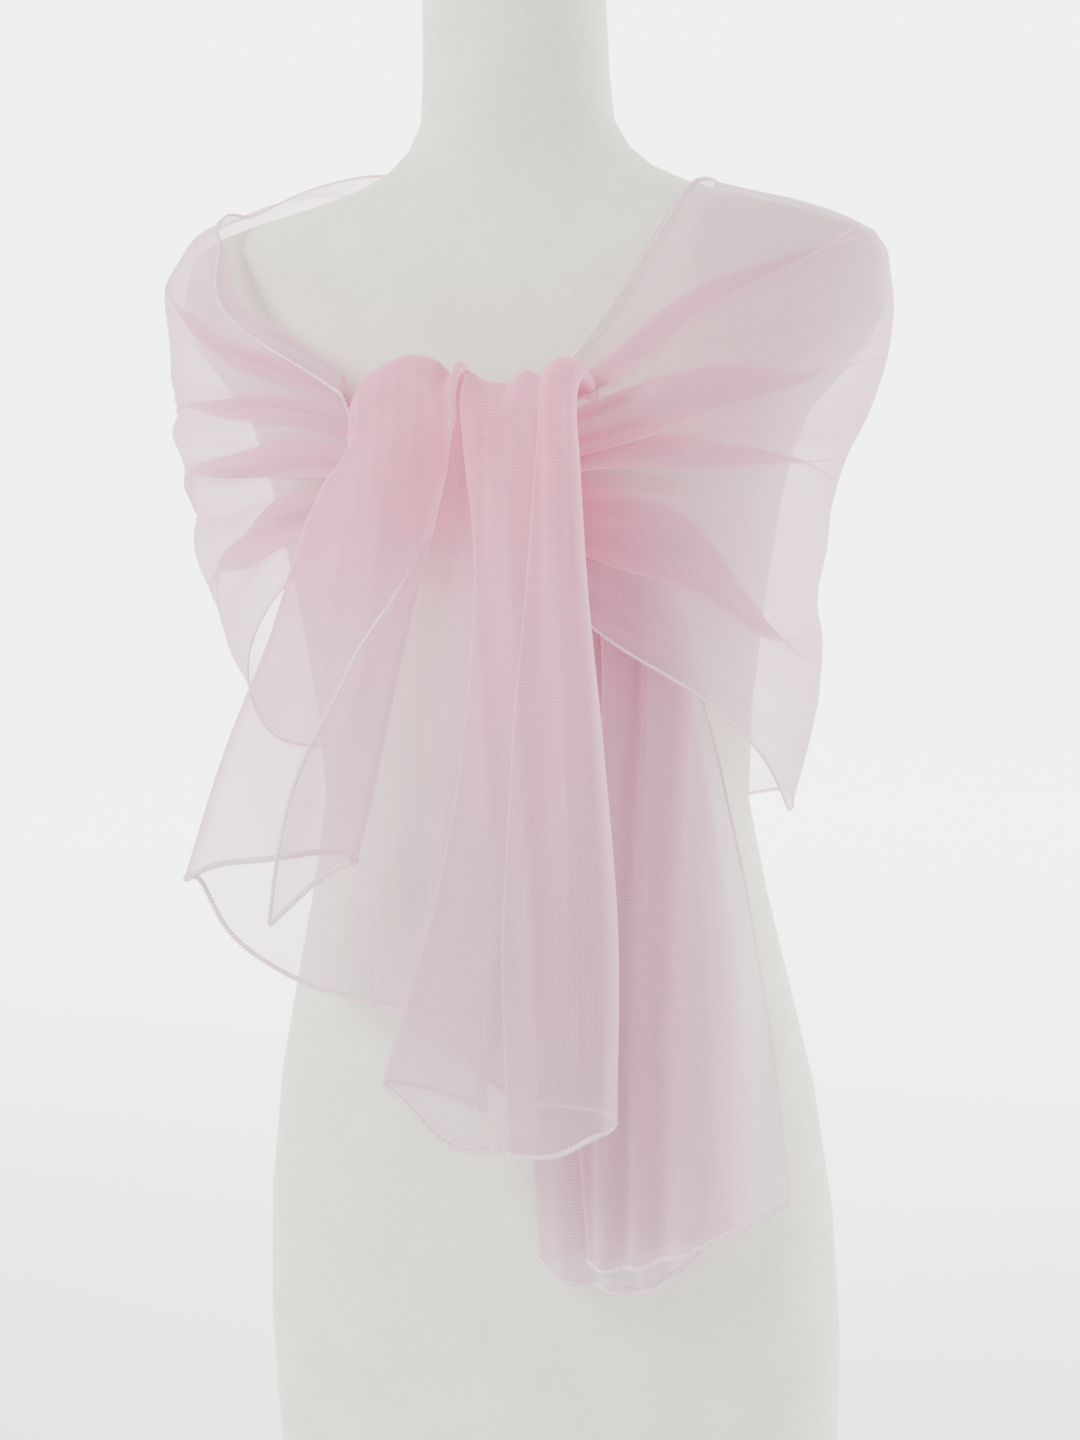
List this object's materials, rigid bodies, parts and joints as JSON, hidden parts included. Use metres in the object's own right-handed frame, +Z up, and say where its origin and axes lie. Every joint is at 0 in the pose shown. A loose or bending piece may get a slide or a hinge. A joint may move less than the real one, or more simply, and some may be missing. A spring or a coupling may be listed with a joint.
{
  "type": "chiffon scarf on a limbless dress form",
  "caption": "Sheer pink chiffon scarf worn as a wrap, half knotted at the chest with one end over the knot and one behind it, on a plain limbless dress form.",
  "frame": {"origin": "centre of the dress form's base, on the floor", "axes": "+Z up, the form faces -Y, its left side is +X"},
  "size_m": [0.4104, 0.2918, 0.98],
  "materials": {
    "chiffon": "sheer plain weave, soft sheen, denser pink where layers stack",
    "jersey": "matte fine knit, ivory",
    "beech": "satin oiled"
  },
  "bodies": {
    "root": {"form_base": "beech", "form_body": "jersey", "form_neck_cap": "beech", "scarf_back": "chiffon", "scarf_left_shoulder": "chiffon", "scarf_right_shoulder": "chiffon", "scarf_knot": "chiffon", "scarf_front_fall": "chiffon", "scarf_under_tail": "chiffon"}
  },
  "joints": []
}
